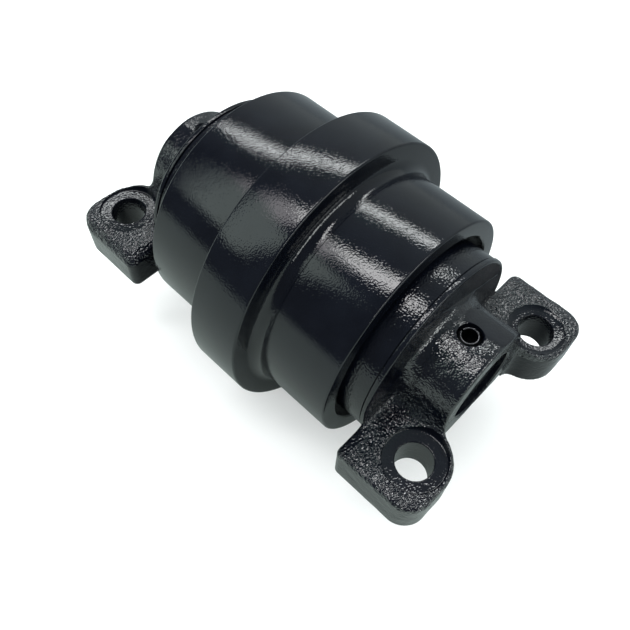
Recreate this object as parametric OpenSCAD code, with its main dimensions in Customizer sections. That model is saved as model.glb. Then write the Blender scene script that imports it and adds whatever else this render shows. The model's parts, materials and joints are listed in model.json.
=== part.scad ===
// Track roller for a small tracked excavator: a double-tread roller with a centre flange,
// turning on a fixed oil-filled shaft between two bolt-on end collars.
// The roller axis is +Y, +Z is up, and the origin is the roller's centre on its axis.
// The collars' bolted pads face down (-Z); their bolt seats face up.

/* [Roller shell] */
// Diameter of the two treads that the chain links run on
tread_d = 105; // [96:1:130]
// Diameter of the centre flange
flange_d = 127; // [118:1:156]
// Overall length of the shell across both treads
shell_l = 99; // [90:1:122]
// Width of the centre flange
flange_w = 24.5; // [18:0.5:32]
// Fillet radius where the flange meets the treads
root_r = 4.5; // [2:0.5:5]
// Chamfer on the tread rims and the flange rims
rim_c = 0.8; // [0.4:0.1:2]
// Radial thickness of the rim around each mouth
mouth_wall = 7.15; // [5:0.05:8.5]
// Depth of each mouth
mouth_depth = 5; // [3.5:0.5:6]
// Length of the wider oil chamber between the bushings
chamber_l = 16; // [10:1:22]
// Extra radius of the oil chamber over the bushing seats
chamber_step = 3; // [1:0.5:5]

/* [Shaft] */
// Diameter of the bearing journal
journal_d = 36; // [32:1:43.5]
// Radial step from the journal down to the two shaft ends
shoulder = 2; // [1.5:0.25:3]
// Depth of each shaft end below the collar's end face
end_recess = 2.5; // [1:0.5:4]
// Chamfer on both shaft ends
shaft_c = 1.5; // [0.5:0.25:2]
// Diameter of the axial oil drilling
oil_d = 6; // [4:0.5:7]
// Diameter of the cross drilling that feeds the oil chamber
cross_d = 5; // [3:0.5:6]

/* [Bushings] */
// Wall thickness of a bushing
bush_wall = 3; // [2.5:0.25:4]
// Thickness of the bushing's thrust flange
thrust_t = 3.2; // [2.5:0.1:4]
// Radial width of the thrust flange outside the bushing wall
thrust_w = 4; // [3:0.5:4.5]
// Diameter of the half-round oil grooves along a bushing's bore
groove_d = 2.4; // [1.5:0.1:3]
// Radial running clearance between journal and bushing
running_gap = 0.05; // [0.03:0.01:0.08]
// End play between a thrust flange and its collar
end_play = 0.3; // [0.3:0.05:0.5]

/* [Floating face seals] */
// Section diameter of a rubber toric ring before it is squeezed
toric_d = 6.5; // [5.5:0.1:7]
// Squeezed thickness of a toric ring between its two ramps
toric_t = 6; // [5:0.1:6.2]
// Angle of the seal ramps
ramp_deg = 10; // [6:1:14]
// Radial wall of a metal seal ring at its tail
ring_wall = 2.2; // [1.6:0.1:2.8]
// Length of a metal seal ring from its lapped face to its tail
ring_l = 9; // [8.5:0.25:10]
// Thickness of a metal seal ring's flange
ring_flange_t = 2.6; // [2:0.1:2.8]
// Depth of each seal seat from the sealing plane
seat_depth = 11; // [10.5:0.5:12.5]
// Gap left for the oil film between the two lapped faces
film_gap = 0.04; // [0.02:0.01:0.1]
// Radial gap between the still collar and the turning seal ring
ring_gap = 2; // [1.5:0.25:2.5]

/* [Collars] */
// Radial gap between a collar's plug and the mouth that it enters
mouth_gap = 2.75; // [1.5:0.25:3]
// Axial gap between a collar's plug and the floor of the mouth
plug_gap = 1; // [0.8:0.1:1.5]
// Length of the machined plug from its nose to the collar's back face
plug_l = 16.1; // [15:0.1:19.5]
// Height of the cast lip above the machined plug
lip_h = 0.4; // [0.3:0.1:1]
// Width of the cast lip, with the bevel on its back edge
lip_w = 2.2; // [1.5:0.1:3]
// Radial wall of the boss inside the seals
boss_wall = 8; // [6:0.25:9]
// Radial wall of the hub around the shaft end
hub_wall = 8.75; // [7:0.25:10.5]
// Length of the hub from the collar's back face to its end face
hub_l = 23.4; // [21:0.1:28]
// Chamfer around the hub's end face
hub_c = 1.75; // [1:0.25:3]
// Fillet radius from the hub down to the ears
hub_fillet = 10; // [6:0.5:14]
// Fillet radius from the collar's back face down to the ears
back_fillet = 5; // [3:0.5:6]

/* [Ears] */
// Bolt hole spacing across the roller axis
bolt_x = 80; // [74:1:96]
// Bolt hole spacing along the roller axis
bolt_y = 170; // [164:1:204]
// Diameter of the four bolt holes
bolt_d = 15; // [12.5:0.5:18]
// Diameter of the machined seats around the bolt holes
seat_d = 25.5; // [22:0.5:26]
// Depth of the machined seats below the cast ear surface
seat_cut = 1; // [0.5:0.25:2]
// Thickness of the ears under the machined seats
ear_t = 17.5; // [14:0.5:21]
// Height of the machined seats below the roller axis
seat_drop = 5.5; // [4:0.5:8]
// Width of an ear outside its bolt hole, away from the roller axis
ear_side = 18.5; // [15.5:0.5:21]
// Width of an ear outside its bolt hole, along the roller axis
ear_end = 14.5; // [13.25:0.25:17.5]
// How far the ears reach past the collar's back face, towards the roller
ear_lap = 0.6; // [0:0.1:1.5]
// Corner radius at the outer corner of an ear
ear_corner = 10; // [6:0.5:12]
// Corner radius at the inner corner of an ear
inner_corner = 3; // [1:0.5:5]
// Fillet radius at the neck between an ear and the hub's end face
neck_r = 4; // [2:0.5:6]
// Depth of the relief between the two pads of a collar
pad_relief = 4.5; // [2:0.5:5]
// Half width of the relief between the two pads of a collar
relief_half = 21.5; // [16:0.5:22]

/* [Lock pins] */
// Diameter of a lock pin and of its hole
pin_d = 10; // [8:0.5:11]
// Bore of the hollow lock pin
pin_bore = 6.2; // [4:0.2:6.4]
// Distance of a lock pin from the collar's back face
pin_set = 11; // [9:0.25:13]
// Depth of a lock pin in the shaft
pin_bite = 8.5; // [6:0.5:9.5]
// Depth of a lock pin's top below the hub's crown
pin_sink = 1.4; // [0.5:0.1:2.5]
// Length of the taper at both ends of a lock pin
pin_taper = 1.6; // [0.8:0.1:2]
// Width of the slot along a lock pin
pin_slot = 0.8; // [0.4:0.1:1.5]

/* [Small seals and plug] */
// Section diameter of the shaft rings that seal the collars
cord_d = 2.65; // [2.4:0.05:3]
// Depth of a shaft ring's groove
groove_depth = 2.1; // [1.9:0.05:2.3]
// Width of a shaft ring's groove
groove_w = 3.8; // [3.4:0.1:4.4]
// Diameter of the oil plug's shank
plug_d = 10; // [9:0.5:12]
// Length of the oil plug's shank
shank_l = 9; // [6:0.5:12]
// Diameter of the oil plug's head
head_d = 18; // [16:0.5:19]
// Thickness of the oil plug's head
head_t = 3.5; // [2.5:0.25:4]
// Width across the flats of the oil plug's hexagon socket
socket_w = 6; // [4:0.5:7]

/* [Hidden] */
$fn = 128;

// Push-fit gap between still metal parts, and the gap around squeezed rubber
fit_gap = 0.03;
rubber_gap = 0.02;
// Overshoot of every cut past the surface that it opens
cut = 1;
// Step left at both ends of a collar's fillets, so that no two faces meet at a tangent
blend_step = 0.05;

tread_r = tread_d / 2;
flange_r = flange_d / 2;
shell_h = shell_l / 2;
flange_h = flange_w / 2;
mouth_r = tread_r - mouth_wall;
mouth_floor = shell_h - mouth_depth;

journal_r = journal_d / 2;
end_r = journal_r - shoulder;
bush_r = journal_r + running_gap + bush_wall;
thrust_r = bush_r + thrust_w;

// Stations along +Y for one side; the other side mirrors them
plug_nose = mouth_floor + plug_gap;
seal_y = (mouth_floor + plug_nose) / 2;
seat_floor = seal_y - seat_depth;
thrust_face = seat_floor + thrust_t;
boss_face = thrust_face + end_play;
back_y = plug_nose + plug_l;
cavity_floor = seal_y + seat_depth;
hub_end = back_y + hub_l;
shaft_end = hub_end - end_recess;
pin_y = back_y + pin_set;
ring_groove_y = cavity_floor - groove_w;

// Radii of the seal, worked outward from the shaft
boss_r = end_r + boss_wall;
ring_in = max(boss_r, thrust_r) + ring_gap;
toric_y = ring_flange_t + 0.4 + toric_d / 2;
toric_r = ring_in + ring_wall + toric_t / 2 / cos(ramp_deg) + (ring_l - toric_y) * tan(ramp_deg);
lip_r = mouth_r - mouth_gap;
plug_r = lip_r - lip_h;

// Collar heights and ear stations
hub_r = end_r + hub_wall;
seat_z = -seat_drop;
ear_top = seat_z + seat_cut;
pad_z = seat_z - ear_t;
bolt_line = bolt_y / 2;
ear_in = back_y - ear_lap;
ear_out = bolt_line + ear_end;
ear_x = bolt_x / 2 + ear_side;
pin_top = hub_r - pin_sink;
pin_foot = end_r - pin_bite;

// Radius of a seal ramp at the distance d from the sealing plane, at the offset off from the toric's middle
function ramp_r(d, off) = toric_r + off / cos(ramp_deg) - (d - toric_y) * tan(ramp_deg);

// Turns a profile of [radius, y] points about the roller axis
module turned(points) {
    rotate([-90, 0, 0]) rotate_extrude() polygon(points);
}

// A round bar or bore along the roller axis from y0 to y1
module along_y(r, y0, y1) {
    translate([0, y0, 0]) rotate([-90, 0, 0]) cylinder(r = r, h = y1 - y0);
}

module side(sign) {
    if (sign > 0) children();
    else mirror([0, 1, 0]) children();
}

// Moves a part drawn with its sealing face at y = 0 and its tail up to one side of the sealing plane
module at_seal(turning) {
    translate([0, seal_y, 0])
        if (turning) mirror([0, 1, 0]) children();
        else children();
}

/* Roller */

module shell_outside() {
    turned([
        [0, -shell_h], [tread_r - rim_c, -shell_h], [tread_r, -shell_h + rim_c],
        [tread_r, shell_h - rim_c], [tread_r - rim_c, shell_h], [0, shell_h]
    ]);
    turned([
        [0, -flange_h], [flange_r - rim_c, -flange_h], [flange_r, -flange_h + rim_c],
        [flange_r, flange_h - rim_c], [flange_r - rim_c, flange_h], [0, flange_h]
    ]);
    for (sign = [-1, 1]) side(sign)
        rotate([-90, 0, 0]) rotate_extrude() difference() {
            translate([tread_r - cut, 0]) square([root_r + cut, flange_h + root_r]);
            translate([tread_r + root_r, flange_h + root_r]) circle(r = root_r);
        }
}

module roller_shell() {
    seat_mouth = ramp_r(seal_y - mouth_floor, toric_t / 2 + rubber_gap);
    seat_root = ramp_r(seat_depth, toric_t / 2 + rubber_gap);
    color([0.07, 0.08, 0.10]) difference() {
        shell_outside();
        along_y(bush_r, -shell_h, shell_h);
        along_y(bush_r + chamber_step, -chamber_l / 2, chamber_l / 2);
        for (sign = [-1, 1]) side(sign) {
            along_y(mouth_r, mouth_floor, shell_h + cut);
            turned([[0, seat_floor], [seat_root, seat_floor], [seat_mouth, mouth_floor], [0, mouth_floor]]);
        }
    }
}

module bushing(sign) {
    color([0.72, 0.53, 0.28]) side(sign) difference() {
        union() {
            along_y(bush_r, chamber_l / 2 + 0.5, thrust_face);
            along_y(thrust_r, seat_floor, thrust_face);
        }
        along_y(journal_r + running_gap, 0, thrust_face + cut);
        for (x = [-1, 1]) translate([x * (journal_r + running_gap), 0, 0])
            along_y(groove_d / 2, 0, thrust_face + cut);
    }
}

/* Floating face seals */

module seal_ring(sign, turning) {
    lapped_in = ring_in + ring_wall + 1.2;
    flange_out = toric_r + 1;
    color([0.55, 0.56, 0.58]) side(sign) at_seal(turning) turned([
        [ring_in, ring_l], [ring_in, 1.6], [lapped_in, film_gap / 2], [flange_out - 0.4, film_gap / 2],
        [flange_out, film_gap / 2 + 0.4], [flange_out, ring_flange_t],
        [ramp_r(ring_flange_t, -toric_t / 2 - rubber_gap), ring_flange_t],
        [ramp_r(ring_l, -toric_t / 2 - rubber_gap), ring_l]
    ]);
}

module toric(sign, turning) {
    color([0.03, 0.03, 0.03]) side(sign) at_seal(turning)
        rotate([-90, 0, 0]) rotate_extrude() translate([toric_r, toric_y]) intersection() {
            circle(d = toric_d);
            rotate(ramp_deg) square([toric_t, 2 * toric_d], center = true);
        }
}

/* Shaft and its small parts */

module shaft() {
    head_floor = -shaft_end + head_t;
    color([0.62, 0.63, 0.65]) difference() {
        union() {
            along_y(journal_r, -boss_face, boss_face);
            turned([
                [0, -shaft_end], [end_r - shaft_c, -shaft_end], [end_r, -shaft_end + shaft_c],
                [end_r, shaft_end - shaft_c], [end_r - shaft_c, shaft_end], [0, shaft_end]
            ]);
        }
        along_y(oil_d / 2, -shaft_end, cross_d * 2);
        along_y(plug_d / 2, -shaft_end, head_floor + shank_l);
        along_y(head_d / 2, -shaft_end - cut, head_floor);
        cylinder(d = cross_d, h = 2 * journal_d, center = true);
        for (sign = [-1, 1]) side(sign) {
            translate([0, pin_y, pin_foot]) cylinder(d = pin_d, h = journal_d);
            difference() {
                along_y(end_r + cut, ring_groove_y - groove_w / 2, ring_groove_y + groove_w / 2);
                along_y(end_r - groove_depth, ring_groove_y - groove_w, ring_groove_y + groove_w);
            }
        }
    }
}

module shaft_o_ring(sign) {
    inner = end_r - groove_depth + rubber_gap;
    outer = end_r + fit_gap - rubber_gap;
    color([0.04, 0.04, 0.04]) side(sign)
        rotate([-90, 0, 0]) rotate_extrude() intersection() {
            translate([(inner + outer) / 2, ring_groove_y]) circle(d = cord_d);
            translate([inner, 0]) square([outer - inner, 2 * ring_groove_y]);
        }
}

module lock_pin(sign) {
    pin_r = pin_d / 2 - fit_gap / 2;
    tip_r = pin_r - 1.2;
    color([0.30, 0.31, 0.33]) side(sign) translate([0, pin_y, 0]) difference() {
        rotate_extrude() polygon([
            [pin_bore / 2, pin_foot + 0.2], [tip_r, pin_foot + 0.2], [pin_r, pin_foot + 0.2 + pin_taper],
            [pin_r, pin_top - pin_taper], [tip_r, pin_top], [pin_bore / 2, pin_top]
        ]);
        translate([-pin_slot / 2, -pin_d, pin_foot]) cube([pin_slot, pin_d, pin_top]);
    }
}

module oil_plug() {
    head_floor = -shaft_end + head_t;
    color([0.50, 0.51, 0.52]) difference() {
        union() {
            along_y(plug_d / 2 - fit_gap, head_floor - fit_gap, head_floor + shank_l - 1);
            along_y(head_d / 2 - 0.5, -shaft_end, head_floor - cord_d * 0.5 - fit_gap);
            along_y(plug_d / 2 + 0.6, -shaft_end, head_floor - fit_gap);
        }
        translate([0, -shaft_end - cut, 0]) rotate([-90, 0, 0])
            cylinder(d = socket_w / cos(30), h = head_t + 2 + cut, $fn = 6);
    }
}

module oil_plug_o_ring() {
    head_floor = -shaft_end + head_t;
    low = head_floor - cord_d * 0.5;
    color([0.04, 0.04, 0.04]) rotate([-90, 0, 0]) rotate_extrude() intersection() {
        translate([plug_d / 2 + 0.7 + cord_d / 2, (low + head_floor) / 2]) circle(d = cord_d * 0.9);
        translate([0, low]) square([head_d, head_floor - low - rubber_gap]);
    }
}

/* Collars */

// Machined plug, seal housing and centre boss
module collar_plug() {
    seat_mouth = ramp_r(plug_nose - seal_y, toric_t / 2 + rubber_gap);
    seat_root = ramp_r(seat_depth, toric_t / 2 + rubber_gap);
    lip_y = back_y - lip_w;
    turned([
        [0, boss_face], [boss_r, boss_face], [boss_r, cavity_floor], [seat_root, cavity_floor],
        [seat_mouth, plug_nose], [plug_r - 1, plug_nose], [plug_r, plug_nose + 1], [plug_r, lip_y],
        [lip_r, lip_y], [lip_r, lip_y + 0.8], [lip_r - 1.4, back_y], [0, back_y]
    ]);
}

// Plan outline of one ear, with the neck fillet to the hub's end face
module ear_outline() {
    hole = [bolt_x / 2, bolt_line];
    neck_y = hub_end + neck_r;
    neck_x = hole.x - sqrt(pow(ear_end + neck_r, 2) - pow(neck_y - bolt_line, 2));
    touch = hole + ([neck_x, neck_y] - hole) * ear_end / (ear_end + neck_r);
    corner_x = ear_x - ear_corner;
    corner_y = ear_out - ear_corner;
    translate(hole) circle(r = ear_end);
    translate([corner_x, corner_y]) circle(r = ear_corner);
    translate([ear_x - inner_corner, ear_in + inner_corner]) circle(r = inner_corner);
    translate(hole) square([corner_x - hole.x, ear_end]);
    translate([hole.x, ear_in + inner_corner]) square([ear_side, corner_y - ear_in - inner_corner]);
    translate([0, ear_in]) square([ear_x - inner_corner, hub_end - ear_in]);
    difference() {
        polygon([[neck_x, ear_in + cut], [hole.x, ear_in + cut], hole, touch, [neck_x, neck_y]]);
        translate([neck_x, neck_y]) circle(r = neck_r);
    }
}

// Section of the hub's fillet to one ear, in [x, z]
module hub_fillet_section() {
    z = ear_top + hub_fillet;
    x = sqrt(pow(hub_r + hub_fillet, 2) - pow(z, 2));
    difference() {
        polygon([[0, ear_top], [x, ear_top], [x, z], [0, 0]]);
        translate([x, z]) circle(r = hub_fillet - blend_step);
    }
}

module collar_ear() {
    translate([0, 0, pad_z]) linear_extrude(ear_top - pad_z) ear_outline();
    translate([0, hub_end, 0]) rotate([90, 0, 0]) linear_extrude(hub_end - back_y + cut) hub_fillet_section();
    translate([0, back_y, ear_top]) difference() {
        cube([bolt_x / 2, back_fillet, back_fillet]);
        translate([-cut, back_fillet, back_fillet]) rotate([0, 90, 0])
            cylinder(r = back_fillet - blend_step, h = bolt_x / 2 + 2 * cut);
    }
}

module collar_hub() {
    intersection() {
        turned([
            [0, back_y - cut], [hub_r, back_y - cut], [hub_r, hub_end - hub_c], [hub_r - hub_c, hub_end],
            [0, hub_end]
        ]);
        translate([-hub_r, 0, pad_z]) cube([2 * hub_r, hub_end + cut, 2 * hub_r - pad_z]);
    }
    translate([-hub_r, ear_in, pad_z]) cube([2 * hub_r, hub_end - ear_in, -pad_z]);
}

module collar(sign) {
    color([0.07, 0.08, 0.10]) side(sign) difference() {
        union() {
            collar_plug();
            collar_hub();
            for (x = [0, 1]) mirror([x, 0, 0]) collar_ear();
        }
        along_y(end_r + fit_gap, boss_face - cut, hub_end + cut);
        translate([0, pin_y, 0]) cylinder(d = pin_d, h = hub_r + cut);
        for (x = [-1, 1]) translate([x * bolt_x / 2, bolt_line, 0]) {
            translate([0, 0, pad_z - cut]) cylinder(d = bolt_d, h = ear_t + 2 * cut);
            translate([0, 0, seat_z]) cylinder(d = seat_d, h = hub_r);
        }
        translate([-relief_half, back_y, pad_z - cut]) cube([2 * relief_half, max(ear_out, hub_end), pad_relief + cut]);
    }
}

roller_shell();
bushing(-1);  // left_bushing
bushing(1);  // right_bushing
shaft();
collar(-1);  // left_collar
collar(1);  // right_collar
seal_ring(-1, true);  // left_turning_seal_ring
seal_ring(1, true);  // right_turning_seal_ring
seal_ring(-1, false);  // left_fixed_seal_ring
seal_ring(1, false);  // right_fixed_seal_ring
toric(-1, true);  // left_turning_toric
toric(1, true);  // right_turning_toric
toric(-1, false);  // left_fixed_toric
toric(1, false);  // right_fixed_toric
shaft_o_ring(-1);  // left_shaft_o_ring
shaft_o_ring(1);  // right_shaft_o_ring
lock_pin(-1);  // left_lock_pin
lock_pin(1);  // right_lock_pin
oil_plug();
oil_plug_o_ring();
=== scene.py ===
"""Looks of the track roller: gloss-painted shell and rough-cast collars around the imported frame.

Lengths in this file are in millimetres until a mesh is made; Blender works in metres.
+Y is the roller axis and +Z points away from the mounting pads.
"""

import itertools
import json
import math

import bmesh
import bpy
import numpy as np
from mathutils import Matrix, Vector


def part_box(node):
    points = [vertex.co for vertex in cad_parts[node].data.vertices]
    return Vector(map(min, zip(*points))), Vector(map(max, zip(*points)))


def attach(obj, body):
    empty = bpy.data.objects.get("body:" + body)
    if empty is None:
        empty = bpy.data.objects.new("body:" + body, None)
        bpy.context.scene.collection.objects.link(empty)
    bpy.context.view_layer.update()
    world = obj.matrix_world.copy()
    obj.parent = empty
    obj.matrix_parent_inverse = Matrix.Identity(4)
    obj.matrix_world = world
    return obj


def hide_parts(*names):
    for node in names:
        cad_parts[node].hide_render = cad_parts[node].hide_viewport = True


MM = 0.001
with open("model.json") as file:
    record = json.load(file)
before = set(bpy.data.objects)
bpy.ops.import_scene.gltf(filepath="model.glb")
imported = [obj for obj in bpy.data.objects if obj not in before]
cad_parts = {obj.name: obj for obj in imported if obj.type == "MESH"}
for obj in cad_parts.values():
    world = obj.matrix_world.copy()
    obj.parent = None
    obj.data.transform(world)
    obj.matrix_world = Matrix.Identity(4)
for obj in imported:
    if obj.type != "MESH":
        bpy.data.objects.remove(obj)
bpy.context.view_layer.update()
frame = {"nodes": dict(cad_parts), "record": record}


# Sizes --------------------------------------------------------------------------------------

def span(node, axis):
    """Lowest and highest value of a CAD node along one axis, in millimetres."""
    low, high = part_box(node)
    return low[axis] / MM, high[axis] / MM


# Roller shell: radii of the flange and treads, half lengths, the fillet at the flange's root with
# the shallow band beside it, the rounded rims, and the mouth that takes the collar's plug.
SHELL_HALF = span("roller_shell", 1)[1]
FLANGE_R = span("roller_shell", 2)[1]
FLANGE_HALF = 12.25
TREAD_R = 52.5
ROOT_R = 4.5
BAND_DEPTH = 0.25
BAND_WIDTH = 1.2
BAND_EDGE = 1.6
RIM = 0.9
MOUTH_R = 45.35
MOUTH_EDGE = 0.5
MOUTH_FLOOR = SHELL_HALF - 5
BUSH_R = 21.05
CHAMBER_R = BUSH_R + 3
CHAMBER_HALF = 8
FLOOR_Z = span("roller_shell", 2)[0]

# Face seal: its plane lies midway in the gap between the mouth's floor and the plug's nose, and
# a tapered seat runs back from it on each side.
PLUG_GAP = 1
SEAL_Y = MOUTH_FLOOR + PLUG_GAP / 2
SEAT_DEPTH = 11
SEAT_FLOOR = SEAL_Y - SEAT_DEPTH
CAVITY_FLOOR = SEAL_Y + SEAT_DEPTH
SEAT_OPEN_R = 36.8
SEAT_DEEP_R = 34.9

# Collar: the machined plug with its lip and the groove in front of the lip, then the boss and
# the bore, which is the shaft's end with a running gap.
COLLAR_END = span("right_collar", 1)[1]
COLLAR_SIDE = span("right_collar", 0)[1]
BOSS_FACE = span("right_collar", 1)[0]
BOSS_R = 24
BOSS_EDGE = 0.5
LIP_R = -span("right_collar", 2)[0]
PLUG_R = LIP_R - 0.4
PLUG_NOSE = MOUTH_FLOOR + PLUG_GAP
PLUG_CHAMFER = 0.9
BACK_Y = PLUG_NOSE + 16.1
GROOVE_Y = BACK_Y - 2.2
GROOVE_DEPTH = 0.7
SMALL_R = 0.3
LIP_EDGE_R = 0.8
JOURNAL_R = span("shaft", 2)[1]
BORE_R = JOURNAL_R - 2 + 0.03
BORE_CHAMFER = 0.7

# Hub and ears: the pads' plane, the relief between them, and the bolt holes with their seats.
HUB_R = 24.75
HUB_END = 85
PAD_Z = -23
RELIEF_Z = PAD_Z + 4.5
RELIEF_HALF = 21.5
SEAT_Z = -5.5
SEAT_R = 12.75
SEAT_EDGE_R = 0.7
HOLE_R = 7.5
HOLE_EDGE_R = 0.5
HOLE_X = 40
HOLE_Y = HUB_END
EAR_INNER = BACK_Y - 0.6
EAR_HALF = 14.5

# Casting: how its faces blend and how far they stand from the machined ones.
EAR_CORNERS = (0.5, 3.2, 14.0, 10.0)
BEVEL_CORNERS = (0.5, 6.0, 0.5, 0.5)
NECK_BLEND = 4.7
HUB_BLEND = 10.5
DISC_BLEND = 5.5
FLAT_BLEND = 0.6
TOP_EDGE_R = 1.7
RELIEF_EDGE_R = 0.8
EAR_TOP = SEAT_Z + 1.1
NECK_WIDTH = 4.5
NECK_SLOPE = 0.35
DISC_SKIN = 1.2
DISC_R = LIP_R - DISC_SKIN
TRIM_R = LIP_R - 1.1
BACK_SKIN = 0.06

# Cast skin: the [height, size] of what a sand mould leaves, how far it sinks, and what share of
# it the smoother faces keep.
LUMPS = (0.16, 6.5)
GRAINS = (0.11, 2.3)
FINE_GRAINS = (0.07, 1.3)
SKIN_SINK = 0.08
DISC_SHARE = 0.3
WALL_SHARE = 0.4

# Lock pin, its hole, and the flat ground on the hub beside it, which ends short of the disc.
PIN_R = span("right_lock_pin", 0)[1]
PIN_LOW, PIN_TOP = span("right_lock_pin", 2)
PIN_Y = sum(span("right_lock_pin", 1)) / 2
PIN_INNER = 3.1
PIN_TAPER = 1.6
PIN_EDGE_R = 0.25
PIN_SLOT_HALF = 0.4
PIN_HOLE_R = 5.0
PIN_HOLE_CHAMFER = 1.2
FLAT_X = -0.36
FLAT_Z = math.sqrt(1 - FLAT_X ** 2)
FLAT_LEVEL = HUB_R - 0.45
FLAT_START = PIN_Y - 5.5
FLAT_RISE = 0.5
FLAT_SKIN = 0.35

# Places in a collar's list of paints
CAST, GROUND, HUB = 0, 1, 2


# Mesh helpers -------------------------------------------------------------------------------

def make_object(name, points, faces, materials=()):
    """A mesh object from points in millimetres."""
    mesh = bpy.data.meshes.new(name)
    mesh.from_pydata((np.asarray(points, dtype=float) * MM).tolist(), [], [list(f) for f in faces])
    mesh.validate()
    mesh.update()
    for material in materials:
        mesh.materials.append(material)
    piece = bpy.data.objects.new(name, mesh)
    bpy.context.scene.collection.objects.link(piece)
    return piece


def revolve(name, profile, axis="Y", steps=256, materials=()):
    """Turns a closed profile of [radius, height] points about an axis, in that many steps."""
    profile = np.asarray(profile, dtype=float)
    count = len(profile)
    turn = 2 * math.pi * np.arange(steps) / steps
    radius = np.repeat(profile[None, :, 0], steps, 0)
    height = np.repeat(profile[None, :, 1], steps, 0)
    a = radius * np.cos(turn)[:, None]
    b = radius * np.sin(turn)[:, None]
    points = np.stack([b, height, a], -1) if axis == "Y" else np.stack([a, b, height], -1)
    ring = np.arange(steps)
    after = (ring + 1) % steps
    faces = []
    for j in range(count):
        k = (j + 1) % count
        corners = (ring * count + j, ring * count + k, after * count + k, after * count + j)
        faces.append(np.stack(corners, -1))
    piece = make_object(name, points.reshape(-1, 3), np.concatenate(faces), materials)
    face_outward(piece)
    return piece


def face_outward(piece):
    """Turns a closed mesh's faces outward."""
    mesh = piece.data
    mesh.calc_loop_triangles()
    corners = np.array([t.vertices[:] for t in mesh.loop_triangles])
    points = np.array([v.co[:] for v in mesh.vertices])
    p = points[corners]
    if np.einsum("ij,ij->i", p[:, 0], np.cross(p[:, 1], p[:, 2])).sum() < 0:
        mesh.flip_normals()


def arc(x, y, radius, start, end, steps=8):
    """Points along an arc, angles in degrees."""
    turn = np.radians(np.linspace(start, end, steps + 1))
    return [[x + radius * math.cos(t), y + radius * math.sin(t)] for t in turn]


def shade(piece, angle):
    """Smooth shading that keeps edges sharper than the angle, in degrees."""
    piece.data.shade_smooth()
    piece.data.set_sharp_from_angle(angle=math.radians(angle))


def combine(piece, other, operation):
    """Joins or cuts a closed mesh with another, which is used up."""
    modifier = piece.modifiers.new("combine", "BOOLEAN")
    modifier.operation = operation
    modifier.solver = "MANIFOLD"
    modifier.object = other
    modifier.material_mode = "TRANSFER"
    result = piece.evaluated_get(bpy.context.evaluated_depsgraph_get())
    mesh = bpy.data.meshes.new_from_object(result)
    piece.modifiers.clear()
    piece.data = mesh
    bpy.data.objects.remove(other)


def close_slivers(piece):
    """Splits many-sided faces into triangles, and takes out the ones with no area."""
    cleaned = bmesh.new()
    cleaned.from_mesh(piece.data)
    many_sided = [face for face in cleaned.faces if len(face.verts) > 4]
    bmesh.ops.triangulate(cleaned, faces=many_sided, ngon_method="BEAUTY")
    bmesh.ops.dissolve_degenerate(cleaned, dist=0.002 * MM, edges=cleaned.edges)
    cleaned.to_mesh(piece.data)
    cleaned.free()


def half_turn(piece):
    """Turns a mesh half a turn about Z, from the right end of the roller to the left."""
    piece.data.transform(Matrix.Rotation(math.pi, 4, "Z"))


# Cast shapes --------------------------------------------------------------------------------

def smooth_union(a, b, size):
    """Joins two distances, with a fillet of about that size."""
    blend = np.clip(0.5 + 0.5 * (b - a) / size, 0, 1)
    return b + (a - b) * blend - size * blend * (1 - blend)


def rounded_meet(a, b, radius):
    """Where two solids meet, with a rounded edge of that radius."""
    a = a + radius
    b = b + radius
    return np.minimum(np.maximum(a, b), 0) + np.hypot(np.maximum(a, 0), np.maximum(b, 0)) - radius


def rounded_box(x, y, low, high, radii):
    """Distance to a rectangle. radii are those of its corners (-x,-y), (+x,-y), (-x,+y), (+x,+y)."""
    cx = x - (low[0] + high[0]) / 2
    cy = y - (low[1] + high[1]) / 2
    radius = np.where(cy < 0, np.where(cx < 0, radii[0], radii[1]), np.where(cx < 0, radii[2], radii[3]))
    qx = np.abs(cx) - (high[0] - low[0]) / 2 + radius
    qy = np.abs(cy) - (high[1] - low[1]) / 2 + radius
    return np.minimum(np.maximum(qx, qy), 0) + np.hypot(np.maximum(qx, 0), np.maximum(qy, 0)) - radius


def plan(x, y):
    """Distance to the outline of the hub and both ears, seen from above."""
    low = (HOLE_X - EAR_HALF, EAR_INNER)
    ears = rounded_box(np.abs(x), y, low, (COLLAR_SIDE, COLLAR_END), EAR_CORNERS)
    between = np.maximum(np.abs(x) - HOLE_X, np.maximum(y - HUB_END, EAR_INNER - y))
    return smooth_union(ears, between, NECK_BLEND)


def pin_flat(x, y, z):
    """Distance above the flat ground beside the lock pin."""
    flat = (FLAT_X * x + FLAT_Z * z) - FLAT_LEVEL
    return flat - FLAT_RISE * np.maximum(FLAT_START - y, 0)


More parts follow.
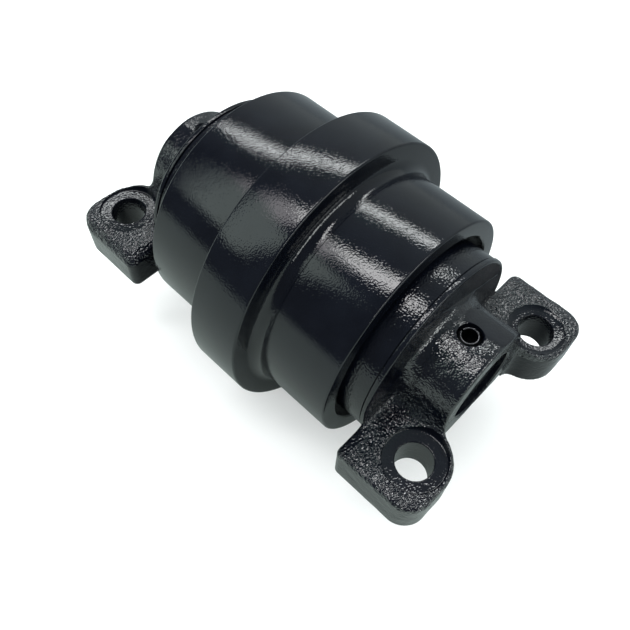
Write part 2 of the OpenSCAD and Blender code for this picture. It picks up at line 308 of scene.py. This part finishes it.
def cast_field(x, y, z, slopes):
    """Distance to the right collar's rough casting, before machining.

    slopes are the [width, slope] of the bevels round the top of its -x ear. The +x ear slopes
    down only towards the disc.
    """
    side = np.abs(x)
    hub = np.where(z > 0, np.hypot(x, z), side) - HUB_R
    past_end = COLLAR_END + 20
    outer = rounded_box(side, y, (0, EAR_INNER), (COLLAR_SIDE, past_end), BEVEL_CORNERS)
    falls = sum(slope * np.maximum(width + outer, 0) for width, slope in slopes)
    bevel = np.where(x < 0, falls, NECK_SLOPE * np.maximum(NECK_WIDTH - (y - EAR_INNER), 0))
    body = smooth_union(hub, z - (EAR_TOP - bevel), HUB_BLEND)
    body = rounded_meet(body, plan(x, y), TOP_EDGE_R)
    body = np.maximum(body, PAD_Z - z)
    disc = np.maximum(np.hypot(x, z) - DISC_R, CAVITY_FLOOR + DISC_SKIN - y)
    disc = np.maximum(disc, y - BACK_Y + BACK_SKIN)
    body = smooth_union(body, disc, DISC_BLEND)
    beside_disc = np.hypot(x, z) - TRIM_R
    far_inside = -30
    body = np.maximum(body, np.where(y > EAR_INNER - 0.3, far_inside, beside_disc))
    relief = np.maximum(np.maximum(side - RELIEF_HALF, z - RELIEF_Z), BACK_Y - y)
    body = rounded_meet(body, -relief, RELIEF_EDGE_R)
    return -smooth_union(-body, -pin_flat(x, y, z), FLAT_BLEND)


def surface_nets(field, low, cell):
    """A mesh of the zero surface of a grid of distances, one point to a cell that it crosses."""
    inside = field < 0
    shape = tuple(n - 1 for n in field.shape)
    corner = list(itertools.product((0, 1), repeat=3))
    part = {c: tuple(slice(c[a], c[a] + shape[a]) for a in range(3)) for c in corner}
    count = sum(inside[part[c]].astype(np.int8) for c in corner)
    cells = np.argwhere((count > 0) & (count < len(corner)))
    number = np.full(shape, -1, dtype=np.int64)
    number[tuple(cells.T)] = np.arange(len(cells))

    # A cell's point is the mean of the places where the surface crosses the cell's edges.
    total = np.zeros((len(cells), 3))
    crossings = np.zeros(len(cells))
    for start in corner:
        for a in range(3):
            if start[a]:
                continue
            stop = tuple(start[i] + (i == a) for i in range(3))
            f0 = field[tuple((cells + start).T)]
            f1 = field[tuple((cells + stop).T)]
            crossed = (f0 < 0) != (f1 < 0)
            share = np.where(crossed, f0 / np.where(crossed, f0 - f1, 1), 0)
            point = np.array(start, dtype=float)[None].repeat(len(cells), 0)
            point[:, a] += share
            total += point * crossed[:, None]
            crossings += crossed
    points = low + cell * (cells + total / crossings[:, None])

    # Each grid edge that the surface crosses gives a face between the four cells around it.
    faces = []
    for a in range(3):
        b, c = (a + 1) % 3, (a + 2) % 3
        first = np.take(inside, range(0, inside.shape[a] - 1), a)
        second = np.take(inside, range(1, inside.shape[a]), a)
        edges = np.argwhere(first != second)
        edges = edges[(edges[:, b] > 0) & (edges[:, c] > 0)]
        edges = edges[(edges[:, b] < shape[b]) & (edges[:, c] < shape[c])]
        outward = first[tuple(edges.T)]
        quad = []
        for db, dc in ((-1, -1), (0, -1), (0, 0), (-1, 0)):
            at = edges.copy()
            at[:, b] += db
            at[:, c] += dc
            quad.append(number[tuple(at.T)])
        quad = np.stack(quad, -1)
        quad[~outward] = quad[~outward][:, ::-1]
        faces.append(quad)
    return points, np.concatenate(faces)


def lattice_noise(points, height, size, seed):
    """Smooth noise of that height each way, with lumps of about that size."""
    repeat = 32
    values = np.random.default_rng(seed).uniform(-1, 1, (repeat, repeat, repeat))
    place = np.asarray(points) / size + 100
    base = np.floor(place).astype(int)
    part = place - base
    part = part * part * (3 - 2 * part)
    total = np.zeros(len(place))
    for step in itertools.product((0, 1), repeat=3):
        weight = np.prod(np.where(step, part, 1 - part), axis=1)
        at = (base + step) % repeat
        total += weight * values[at[:, 0], at[:, 1], at[:, 2]]
    return height * total


def cast_skin(points, normals, seed):
    """Moves the points of a casting in and out, as a sand mould leaves them."""
    lumps = lattice_noise(points, *LUMPS, seed)
    grains = lattice_noise(points, *GRAINS, seed + 1) + lattice_noise(points, *FINE_GRAINS, seed + 2)
    x, y, z = points.T
    radius = np.hypot(x, z)
    on_disc = (radius > HUB_R + 4) & (y < BACK_Y + 0.5) & (z > SEAT_Z)
    on_end = (y > HUB_END - 2.2) & (radius < HUB_R + 0.5)
    on_pad = z < PAD_Z + 0.4
    on_flat = pin_flat(x, y, z) > -FLAT_SKIN
    on_wall = (np.abs(normals[:, 2]) < 0.35) & (z < SEAT_Z)
    share = np.where(on_disc | on_end, DISC_SHARE, 1.0)
    share = np.where(on_pad | on_flat, 0.0, np.where(on_wall, WALL_SHARE, share))
    moved = points + normals * ((lumps + grains) * share - SKIN_SINK * share)[:, None]
    low = (-COLLAR_SIDE, CAVITY_FLOOR, -LIP_R)
    return np.clip(moved, low, (COLLAR_SIDE, COLLAR_END, LIP_R))


def point_normals(points, faces):
    """Area-weighted normals of a mesh of quads."""
    corner = points[faces]
    across = np.cross(corner[:, 2] - corner[:, 0], corner[:, 3] - corner[:, 1])
    normals = np.zeros_like(points)
    for k in range(4):
        np.add.at(normals, faces[:, k], across)
    return normals / np.maximum(np.linalg.norm(normals, axis=1), 1e-9)[:, None]


def make_casting(slopes):
    """Points and faces of the right collar's casting, with those slopes round its -x ear."""
    cell = 0.5
    margin = 2
    low = np.array([-COLLAR_SIDE - margin, CAVITY_FLOOR - 1, -LIP_R - margin])
    high = np.array([COLLAR_SIDE + margin, COLLAR_END + margin, LIP_R + margin])
    counts = np.ceil((high - low) / cell).astype(int) + 1
    x, y, z = ((low[a] + cell * np.arange(counts[a])).astype(np.float32) for a in range(3))
    field = cast_field(x[:, None, None], y[None, :, None], z[None, None, :], slopes)
    return surface_nets(field, low, cell)


def paint_faces(collar, middle, normals):
    """Gives each face of a casting the paint for a cast face, a ground one or the hub."""
    x, y, z = middle.T
    upright = np.abs(normals[:, 2]) < 0.3
    ground = (pin_flat(x, y, z) > -FLAT_SKIN) | (z < PAD_Z + 0.2)
    ground = ground | (upright & (z < SEAT_Z - 1))
    on_hub = z > SEAT_Z + 7
    paint_of_face = np.where(ground, GROUND, np.where(on_hub, HUB, CAST))
    collar.data.polygons.foreach_set("material_index", paint_of_face.astype(np.int32))


def plug_profile():
    """Section of the machined plug: boss, seal seat, nose, groove, lip and back face."""
    inner = BORE_R - 2
    return [
        [inner, BOSS_FACE], [BOSS_R - BOSS_EDGE, BOSS_FACE], [BOSS_R, BOSS_FACE + BOSS_EDGE],
        [BOSS_R, CAVITY_FLOOR], [SEAT_DEEP_R, CAVITY_FLOOR], [SEAT_OPEN_R, PLUG_NOSE],
        [PLUG_R - PLUG_CHAMFER, PLUG_NOSE], [PLUG_R, PLUG_NOSE + PLUG_CHAMFER],
        *arc(PLUG_R - SMALL_R, GROOVE_Y - 0.6, SMALL_R, 0, 90, 4),
        [PLUG_R - GROOVE_DEPTH, GROOVE_Y - SMALL_R], [PLUG_R - GROOVE_DEPTH, GROOVE_Y],
        *arc(LIP_R - SMALL_R, GROOVE_Y + SMALL_R, SMALL_R, -90, 0, 4),
        *arc(LIP_R - LIP_EDGE_R, BACK_Y - LIP_EDGE_R, LIP_EDGE_R, 0, 90, 6),
        [LIP_R - 2.6, BACK_Y], [LIP_R - 3.4, BACK_Y - 0.25], [inner, BACK_Y - 0.5],
    ]


def bore_profile():
    """Section of the shaft's bore, with a chamfer at the hub's end face."""
    wide = BORE_R + (BORE_CHAMFER + 1)
    return [
        [0, BOSS_FACE - 1], [BORE_R, BOSS_FACE - 1], [BORE_R, HUB_END - BORE_CHAMFER],
        [wide, HUB_END + 1], [0, HUB_END + 1],
    ]


def pin_hole_profile():
    """Section of the lock pin's hole, countersunk at the hub."""
    wide = PIN_HOLE_R + PIN_HOLE_CHAMFER
    mouth = HUB_R + 0.45
    return [
        [0, 0], [PIN_HOLE_R, 0], [PIN_HOLE_R, HUB_R - 0.75], [wide, mouth],
        [wide, HUB_R + 4], [0, HUB_R + 4],
    ]


def bolt_hole_profile(dished):
    """Section of a bolt hole and its seat, whose edge is a small fillet or, dished, a long rise."""
    step = arc(SEAT_R - SEAT_EDGE_R, SEAT_Z + SEAT_EDGE_R, SEAT_EDGE_R, -90, 0, 4)
    if dished:
        rise = ((3.2, 0), (2.4, 0.1), (1.6, 0.36), (0.8, 0.78), (0.2, 1.25))
        step = [[SEAT_R - r, SEAT_Z + h] for r, h in rise]
    wide = SEAT_R + 0.35
    return [
        [0, PAD_Z - 1], [HOLE_R + 1.4, PAD_Z - 1], [HOLE_R, PAD_Z + 0.4],
        *arc(HOLE_R + HOLE_EDGE_R, SEAT_Z - HOLE_EDGE_R, HOLE_EDGE_R, 180, 90, 5), *step,
        [wide, SEAT_Z + 1.6], [wide, HUB_R], [0, HUB_R],
    ]


def make_collar(name, node, slopes, dished, turned, materials, seed):
    """One end collar: the casting, its machined plug, and every hole and seat cut into it.

    dished lists the sides, -1 or 1 along x, whose bolt seat is dished, before any turn.
    """
    points, faces = make_casting(slopes)
    normals = point_normals(points, faces)
    collar = make_object(name, cast_skin(points, normals, seed), faces, materials)
    paint_faces(collar, points[faces].mean(1), normals[faces].mean(1))
    machined = (materials[GROUND],)
    plug = revolve(name + "_plug", plug_profile(), materials=machined, steps=320)
    combine(collar, plug, "UNION")
    bore = revolve("bore", bore_profile(), materials=machined, steps=160)
    combine(collar, bore, "DIFFERENCE")
    pin_hole = revolve("pin_hole", pin_hole_profile(), axis="Z", materials=machined, steps=96)
    pin_hole.data.transform(Matrix.Translation((0, PIN_Y * MM, 0)))
    combine(collar, pin_hole, "DIFFERENCE")
    for side in (-1, 1):
        section = bolt_hole_profile(side in dished)
        hole = revolve("bolt_hole", section, axis="Z", materials=machined, steps=144)
        hole.data.transform(Matrix.Translation((side * HOLE_X * MM, HOLE_Y * MM, 0)))
        combine(collar, hole, "DIFFERENCE")
    if turned:
        half_turn(collar)
    close_slivers(collar)
    shade(collar, 38)
    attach(collar, "frame_side")
    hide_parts(node)


# Turned pieces ------------------------------------------------------------------------------

def make_shell(material):
    """The roller shell: treads, flange, mouths, seal seats and bushing bores in one turned piece."""
    root_y = FLANGE_HALF + ROOT_R
    half = [
        [CHAMBER_R, 0], [CHAMBER_R, CHAMBER_HALF], [BUSH_R, CHAMBER_HALF], [BUSH_R, SEAT_FLOOR],
        [SEAT_DEEP_R, SEAT_FLOOR], [SEAT_OPEN_R, MOUTH_FLOOR], [MOUTH_R, MOUTH_FLOOR],
        [MOUTH_R, SHELL_HALF - MOUTH_EDGE], [MOUTH_R + MOUTH_EDGE, SHELL_HALF],
        *arc(TREAD_R - RIM, SHELL_HALF - RIM, RIM, 90, 0, 6),
        [TREAD_R, root_y + BAND_EDGE], [TREAD_R - BAND_DEPTH, root_y + BAND_WIDTH],
        *arc(TREAD_R - BAND_DEPTH + ROOT_R, root_y, ROOT_R, 180, 270, 12),
        *arc(FLANGE_R - RIM, FLANGE_HALF - RIM, RIM, 90, 0, 6),
    ]
    mirrored = [[r, -y] for r, y in half[1:]][::-1]
    shell = revolve("roller_shell_turned", half + mirrored, steps=512, materials=(material,))
    shade(shell, 30)
    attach(shell, "roller")
    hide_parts("roller_shell")


def make_pin(name, node, turned, material):
    """A hollow spring pin, bevelled at both ends, with its slot."""
    edge_z = PIN_TOP - PIN_EDGE_R
    low = [
        [PIN_INNER + PIN_EDGE_R, PIN_LOW], [PIN_R - 1.25, PIN_LOW], [PIN_R, PIN_LOW + PIN_TAPER],
    ]
    high = [
        [PIN_R, PIN_TOP - PIN_TAPER], *arc(PIN_R - 1.45, edge_z, PIN_EDGE_R, 40, 90, 3),
        *arc(PIN_INNER + PIN_EDGE_R, edge_z, PIN_EDGE_R, 90, 180, 3), [PIN_INNER, PIN_LOW + PIN_EDGE_R],
    ]
    pin = revolve(name, low + high, axis="Z", steps=96, materials=(material,))
    across = (-PIN_SLOT_HALF, PIN_SLOT_HALF)
    corner = list(itertools.product(across, (-2 * PIN_R, -0.5), (PIN_LOW - 1, PIN_TOP + 1)))
    sides = [(0, 1, 3, 2), (4, 6, 7, 5), (0, 4, 5, 1), (2, 3, 7, 6), (0, 2, 6, 4), (1, 5, 7, 3)]
    slot = make_object("slot", corner, sides, (material,))
    face_outward(slot)
    combine(pin, slot, "DIFFERENCE")
    pin.data.transform(Matrix.Translation((0, PIN_Y * MM, 0)))
    if turned:
        half_turn(pin)
    shade(pin, 30)
    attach(pin, "frame_side")
    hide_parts(node)


# Materials ----------------------------------------------------------------------------------

class Nodes:
    """A short way to write a material's nodes."""

    def __init__(self, name):
        self.material = bpy.data.materials.new(name)
        self.material.use_nodes = True
        self.tree = self.material.node_tree
        self.shader = self.tree.nodes["Principled BSDF"]
        self.place = self.add("ShaderNodeTexCoord").outputs["Object"]

    def add(self, kind, **settings):
        """A new node of that kind."""
        node = self.tree.nodes.new(kind)
        for key, value in settings.items():
            setattr(node, key, value)
        return node

    def link(self, source, target):
        """Joins an output to an input."""
        self.tree.links.new(source, target)

    def noise(self, size_mm, detail=2.0, rough=0.5, stretch=(1, 1, 1)):
        """Noise with features of about that size."""
        mapping = self.add("ShaderNodeMapping")
        mapping.inputs["Scale"].default_value = [s / (size_mm * MM) for s in stretch]
        self.link(self.place, mapping.inputs["Vector"])
        noise = self.add("ShaderNodeTexNoise")
        noise.inputs["Scale"].default_value = 1.0
        noise.inputs["Detail"].default_value = detail
        noise.inputs["Roughness"].default_value = rough
        self.link(mapping.outputs["Vector"], noise.inputs["Vector"])
        return noise.outputs["Fac"]

    def ramp(self, source, low, high, dark, light):
        """Maps a range of values to a range of numbers or colours."""
        ramp = self.add("ShaderNodeValToRGB")
        for element, position, value in zip(ramp.color_ramp.elements, (low, high), (dark, light)):
            element.position = position
            element.color = (*value, 1) if isinstance(value, tuple) else (value, value, value, 1)
        self.link(source, ramp.inputs["Fac"])
        return ramp.outputs["Color"]

    def bump(self, source, depth_mm, under=None):
        """Bumps of that depth, laid over the ones under them."""
        bump = self.add("ShaderNodeBump")
        bump.inputs["Strength"].default_value = 1.0
        bump.inputs["Distance"].default_value = depth_mm * MM
        self.link(source, bump.inputs["Height"])
        if under is not None:
            self.link(under, bump.inputs["Normal"])
        return bump.outputs["Normal"]

    def finish(self, colour, roughness, normal):
        """The material, with those three on its shader."""
        self.link(colour, self.shader.inputs["Base Color"])
        self.link(roughness, self.shader.inputs["Roughness"])
        self.link(normal, self.shader.inputs["Normal"])
        return self.material


# Lowest and highest value of the noise that a ramp spreads over its range
MIDDLE = (0.35, 0.65)
MOST = (0.3, 0.7)
PAINT_DARK = (0.0018, 0.0024, 0.0046)
PAINT_LIGHT = (0.0034, 0.0044, 0.0074)
MARK_SIZE = 0.5
MARK_DEPTH = 0.01
STEEL_DARK = (0.40, 0.40, 0.41)
STEEL_LIGHT = (0.56, 0.56, 0.57)


def paint_colour(n):
    """Black paint, a little uneven."""
    return n.ramp(n.noise(14, 3), *MIDDLE, PAINT_DARK, PAINT_LIGHT)


def paint(name, grain, waves, roughness, ior):
    """Black gloss paint. grain is the [size, depth] of what shows through it, waves those of its own."""
    n = Nodes(name)
    n.shader.inputs["IOR"].default_value = ior
    colour = paint_colour(n)
    gloss_range = n.ramp(n.noise(5, 4), *MOST, *roughness)
    wave_size, wave_depth = waves
    grain_size, grain_depth = grain
    wavy = n.bump(n.noise(wave_size, 0.0), wave_depth)
    normal = n.bump(n.noise(grain_size, 0.5, 0.45), grain_depth, under=wavy)
    return n.finish(colour, gloss_range, normal)


def metal(name, dark, light, roughness, stretch=(1, 1, 1)):
    """Bare metal with fine tool marks, short along the axis that the stretch is greatest on."""
    n = Nodes(name)
    n.shader.inputs["Metallic"].default_value = 1.0
    marks = n.noise(MARK_SIZE, 3, 0.6, stretch)
    colour = n.ramp(n.noise(6, 3), *MOST, dark, light)
    return n.finish(colour, n.ramp(marks, *MOST, *roughness), n.bump(marks, MARK_DEPTH))


def shaft_steel(name, painted_from):
    """Ground steel whose end faces were painted with the collars, from that height along the axis."""
    n = Nodes(name)
    split = n.add("ShaderNodeSeparateXYZ")
    n.link(n.place, split.inputs[0])
    height = n.add("ShaderNodeMath", operation="ABSOLUTE")
    n.link(split.outputs["Y"], height.inputs[0])
    painted = n.ramp(height.outputs[0], painted_from * MM, (painted_from + 0.4) * MM, 0.0, 1.0)
    bare = n.ramp(painted, 0, 1, 1.0, 0.0)
    marks = n.noise(MARK_SIZE, 3, 0.6, (1, 8, 1))
    steel = n.ramp(n.noise(6, 3), *MOST, STEEL_DARK, STEEL_LIGHT)
    black = paint_colour(n)
    colour = n.add("ShaderNodeMix", data_type="RGBA")
    n.link(painted, colour.inputs["Factor"])
    n.link(steel, colour.inputs["A"])
    n.link(black, colour.inputs["B"])
    n.link(bare, n.shader.inputs["Metallic"])
    roughness = n.ramp(marks, *MOST, 0.16, 0.28)
    return n.finish(colour.outputs["Result"], roughness, n.bump(marks, MARK_DEPTH))


def rubber(name):
    """Matt black rubber."""
    n = Nodes(name)
    colour = n.ramp(n.noise(4, 3), *MOST, (0.012, 0.012, 0.013), (0.026, 0.026, 0.027))
    roughness = n.ramp(n.noise(1.5, 3), *MOST, 0.5, 0.72)
    return n.finish(colour, roughness, n.bump(n.noise(0.4, 2), 0.02))


# Studio -------------------------------------------------------------------------------------

def make_camera():
    """The camera looks down on the right collar, with a slight roll."""
    place = Vector((130.5, 114.4, 231.8)) * MM
    aim = Vector((12.2, 18.0, -13.0)) * MM
    roll = Matrix.Rotation(math.radians(4.92), 4, "Z")
    camera = bpy.data.objects.new("camera", bpy.data.cameras.new("camera"))
    bpy.context.scene.collection.objects.link(camera)
    turn = (aim - place).to_track_quat("-Z", "Y").to_matrix().to_4x4()
    camera.matrix_world = Matrix.Translation(place) @ turn @ roll
    camera.data.lens = 38.22
    camera.data.sensor_width = 36
    camera.data.shift_x = -0.0301
    camera.data.shift_y = 0.0055
    camera.data.clip_start = 0.01
    camera.data.clip_end = 50
    bpy.context.scene.camera = camera


# Height of the ceiling lights in metres, and the directions that their places are given in:
# along the strips and across them, seen from above.
CEILING = 3.0
ALONG = Vector((0.79, -0.61, 0)).normalized()
ACROSS = Vector((0.61, 0.79, 0)).normalized()


def strip_light(name, start, end, width, radiance, colour):
    """A flat ceiling light between two points of its middle line.

    The points, [along, across], and the width are in ceiling heights from the point over the roller.
    """
    first, last = (ALONG * a + ACROSS * b for a, b in (start, end))
    line = (last - first).normalized()
    light = bpy.data.lights.new(name, "AREA")
    light.shape = "RECTANGLE"
    light.size = (last - first).length * CEILING
    light.size_y = width * CEILING
    light.energy = radiance * math.pi * light.size * light.size_y
    light.color = colour
    lamp = bpy.data.objects.new(name, light)
    bpy.context.scene.collection.objects.link(lamp)
    centre = (first + last) / 2 * CEILING + Vector((0, 0, CEILING))
    turn = Matrix.Rotation(math.atan2(line.y, line.x), 4, "Z")
    lamp.matrix_world = Matrix.Translation(centre) @ turn
    lamp.visible_camera = False
    return lamp


def make_room():
    """The room that the paint mirrors: paler on the -x side, and plain white to the camera."""
    world = bpy.data.worlds.new("studio")
    bpy.context.scene.world = world
    world.use_nodes = True
    tree = world.node_tree
    place = tree.nodes.new("ShaderNodeTexCoord")
    split = tree.nodes.new("ShaderNodeSeparateXYZ")
    tree.links.new(place.outputs["Generated"], split.inputs[0])
    ramp = tree.nodes.new("ShaderNodeValToRGB")
    pale, dim = ramp.color_ramp.elements
    pale.position = 0.02
    pale.color = (0.50, 0.56, 0.56, 1)
    dim.position = 0.62
    dim.color = (0.10, 0.11, 0.125, 1)
    from_zero = tree.nodes.new("ShaderNodeMath")
    from_zero.operation = "MULTIPLY_ADD"
    from_zero.inputs[1].default_value = 0.5
    from_zero.inputs[2].default_value = 0.5
    tree.links.new(split.outputs["X"], from_zero.inputs[0])
    tree.links.new(from_zero.outputs[0], ramp.inputs["Fac"])
    walls = tree.nodes["Background"]
    tree.links.new(ramp.outputs["Color"], walls.inputs["Color"])
    walls.inputs["Strength"].default_value = 1.0
    seen = tree.nodes.new("ShaderNodeBackground")
    seen.inputs["Color"].default_value = (1, 1, 1, 1)
    seen.inputs["Strength"].default_value = 1.0
    path = tree.nodes.new("ShaderNodeLightPath")
    mix = tree.nodes.new("ShaderNodeMixShader")
    tree.links.new(path.outputs["Is Camera Ray"], mix.inputs["Fac"])
    tree.links.new(walls.outputs[0], mix.inputs[1])
    tree.links.new(seen.outputs[0], mix.inputs[2])
    tree.links.new(mix.outputs[0], tree.nodes["World Output"].inputs["Surface"])


def make_lights():
    """Four ceiling strips, a fill that gloss doesn't mirror, and a window past the right end."""
    strip_light("strip_near", (0.04, 0.04), (0.47, -0.10), 0.17, 10.5, (1, 1, 1))
    strip_light("strip_middle", (0.47, -0.17), (0.76, -0.21), 0.26, 3.4, (1.0, 0.97, 1.0))
    strip_light("strip_outer", (0.76, -0.10), (2.6, -0.05), 0.56, 1.7, (0.86, 1.0, 0.93))
    strip_light("strip_back", (-0.66, -0.66), (0.42, -0.84), 0.155, 11.0, (0.97, 1.0, 1.0))
    fill = strip_light("fill", (-1.5, 0), (1.5, 0), 3.0, 1.9, (0.97, 1.0, 0.99))
    fill.visible_glossy = False
    window = strip_light("window", (-0.6, 0), (0.6, 0), 0.22, 6.0, (0.95, 1.0, 0.98))
    window.visible_diffuse = False
    place = Vector((-0.3, 3.6, 1.3))
    facing = (-place).to_track_quat("-Z", "Y").to_matrix().to_4x4()
    window.matrix_world = Matrix.Translation(place) @ facing


def floor_with_painted_shade():
    """A pale floor. What the paint mirrors of it is darker, more so on the -x side: painted shade that
    stands in for the roller's shadow on the floor around it.
    """
    n = Nodes("floor")
    n.shader.inputs["Specular IOR Level"].default_value = 0.0
    pale = n.ramp(n.noise(400, 2), *MOST, (0.68, 0.695, 0.69), (0.70, 0.71, 0.705))
    n.link(pale, n.shader.inputs["Base Color"])
    n.shader.inputs["Emission Color"].default_value = (1, 1, 1, 1)
    n.shader.inputs["Emission Strength"].default_value = 0.30
    mirrored = n.add("ShaderNodeBsdfDiffuse")
    split = n.add("ShaderNodeSeparateXYZ")
    n.link(n.place, split.inputs[0])
    across = n.add("ShaderNodeMapRange")
    across.inputs["From Min"].default_value = -0.13
    across.inputs["From Max"].default_value = 0.07
    n.link(split.outputs["X"], across.inputs["Value"])
    # Painted shade: the floor as the paint mirrors it darkens towards -x, where the roller's shadow
    # falls on it.
    painted_floor_shade = n.ramp(across.outputs[0], 0, 1, (0.17, 0.19, 0.20), (0.36, 0.405, 0.385))
    n.link(painted_floor_shade, mirrored.inputs["Color"])
    mix = n.add("ShaderNodeMixShader")
    n.link(n.add("ShaderNodeLightPath").outputs["Is Camera Ray"], mix.inputs["Fac"])
    n.link(mirrored.outputs[0], mix.inputs[1])
    n.link(n.shader.outputs[0], mix.inputs[2])
    n.link(mix.outputs[0], n.tree.nodes["Material Output"].inputs["Surface"])
    return n.material


def make_floor():
    """The floor, which the flange rests on."""
    half = 4500
    corners = [[x, y, FLOOR_Z] for x, y in ((-half, -half), (half, -half), (half, half), (-half, half))]
    floor = make_object("floor", corners, [(0, 1, 2, 3)], (floor_with_painted_shade(),))


# The object ---------------------------------------------------------------------------------

make_camera()
make_room()
make_lights()
make_floor()
bpy.context.scene.view_settings.view_transform = "Standard"

gloss_paint = paint("gloss_paint", (0.55, 0.044), (7.0, 0.03), roughness=(0.045, 0.07), ior=1.5)
machined_paint = paint("machined_paint", (0.75, 0.11), (5.0, 0.10), roughness=(0.05, 0.09), ior=1.5)
cast_paint = paint("cast_paint", (0.98, 0.80), (4.0, 0.3), roughness=(0.03, 0.05), ior=1.8)
hub_paint = paint("hub_paint", (0.62, 0.19), (3.2, 0.16), roughness=(0.035, 0.06), ior=1.75)
steel = shaft_steel("ground_steel", span("shaft", 1)[1] - 3)
bronze = metal("bushing_bronze", (0.50, 0.33, 0.16), (0.66, 0.45, 0.24), (0.22, 0.36), (1, 8, 1))
iron = metal("seal_iron", (0.30, 0.31, 0.32), (0.46, 0.47, 0.48), (0.15, 0.4), (1, 6, 1))
black_steel = metal("pin_steel", (0.06, 0.06, 0.065), (0.12, 0.12, 0.125), (0.25, 0.4))
zinc = metal("plug_steel", (0.42, 0.42, 0.40), (0.58, 0.57, 0.53), (0.22, 0.38))
black_rubber = rubber("seal_rubber")
finishes = {
    "ground_steel": steel, "bushing_bronze": bronze, "seal_iron": iron, "seal_rubber": black_rubber,
    "plug_steel": zinc, "pin_steel": black_steel, "gloss_paint": gloss_paint, "cast_paint": cast_paint,
}
for part in frame["record"]["subparts"]:
    node = frame["nodes"][part["node"]]
    node.data.materials.clear()
    node.data.materials.append(finishes[part["material_slot"]])

paints = (cast_paint, machined_paint, hub_paint)
make_collar("right_collar_cast", "right_collar", [(3.5, 0.25)], (-1,), False, paints, 11)
make_collar("left_collar_cast", "left_collar", [(10.5, 0.12), (3.5, 0.6)], (), True, paints, 29)
make_shell(gloss_paint)
make_pin("right_spring_pin", "right_lock_pin", False, black_steel)
make_pin("left_spring_pin", "left_lock_pin", True, black_steel)
